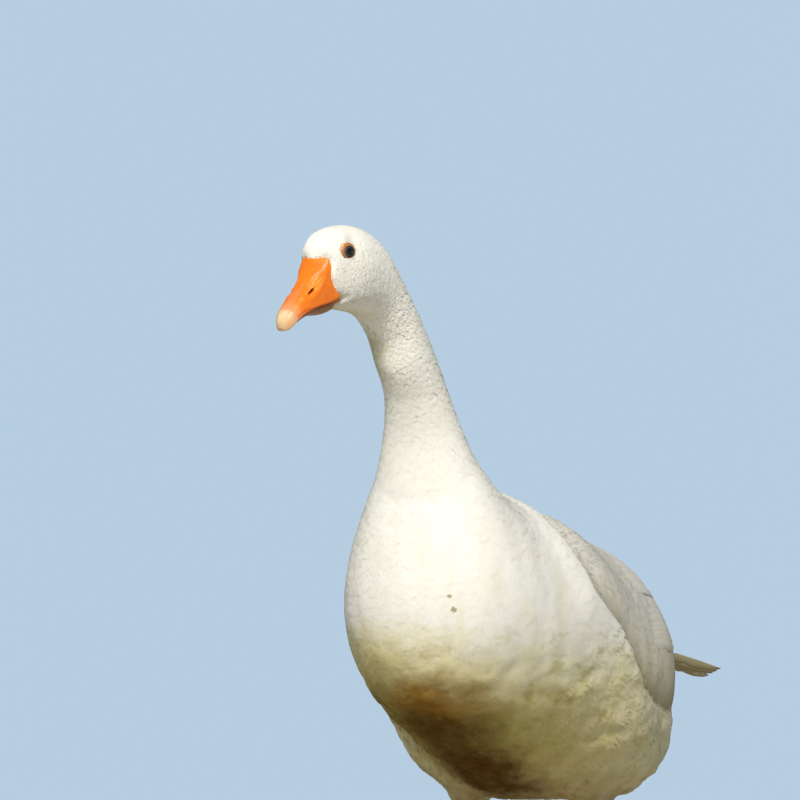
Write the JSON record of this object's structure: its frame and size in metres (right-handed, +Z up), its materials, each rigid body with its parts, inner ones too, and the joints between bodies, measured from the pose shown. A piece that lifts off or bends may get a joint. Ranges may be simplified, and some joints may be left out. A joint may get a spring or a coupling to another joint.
{
  "type": "standing white domestic goose",
  "caption": "Life-size white farm goose standing on both feet, neck up, head turned to its right and bill pointing down; a still display model.",
  "frame": {"origin": "on the floor, under the middle of the bounding box", "axes": "+Z up, +X towards the goose's left side, -Y towards the front, where the breast and bill are"},
  "size_m": [0.254, 0.6914, 0.6374],
  "materials": {
    "plumage": "soft white feathers",
    "bill": "satin orange horn",
    "nail": "satin cream horn",
    "eye": "wet gloss",
    "leg": "scaly orange skin",
    "claw": "dull horn"
  },
  "bodies": {
    "root": {"head": "plumage", "neck_upper": "plumage", "neck_middle": "plumage", "neck_lower": "plumage", "breast": "plumage", "trunk": "plumage", "rump": "plumage", "tail": "plumage", "wing_left": "plumage", "wing_right": "plumage", "wingtip_left": "plumage", "wingtip_right": "plumage", "thigh_left": "plumage", "thigh_right": "plumage", "bill_upper": "bill", "bill_lower": "bill", "bill_nail": "nail", "eye_left": "eye", "eye_right": "eye", "shank_left": "leg", "shank_right": "leg", "foot_left": "leg", "foot_right": "leg", "claw_inner_left": "claw", "claw_middle_left": "claw", "claw_outer_left": "claw", "claw_hind_left": "claw", "claw_inner_right": "claw", "claw_middle_right": "claw", "claw_outer_right": "claw", "claw_hind_right": "claw"}
  },
  "joints": []
}
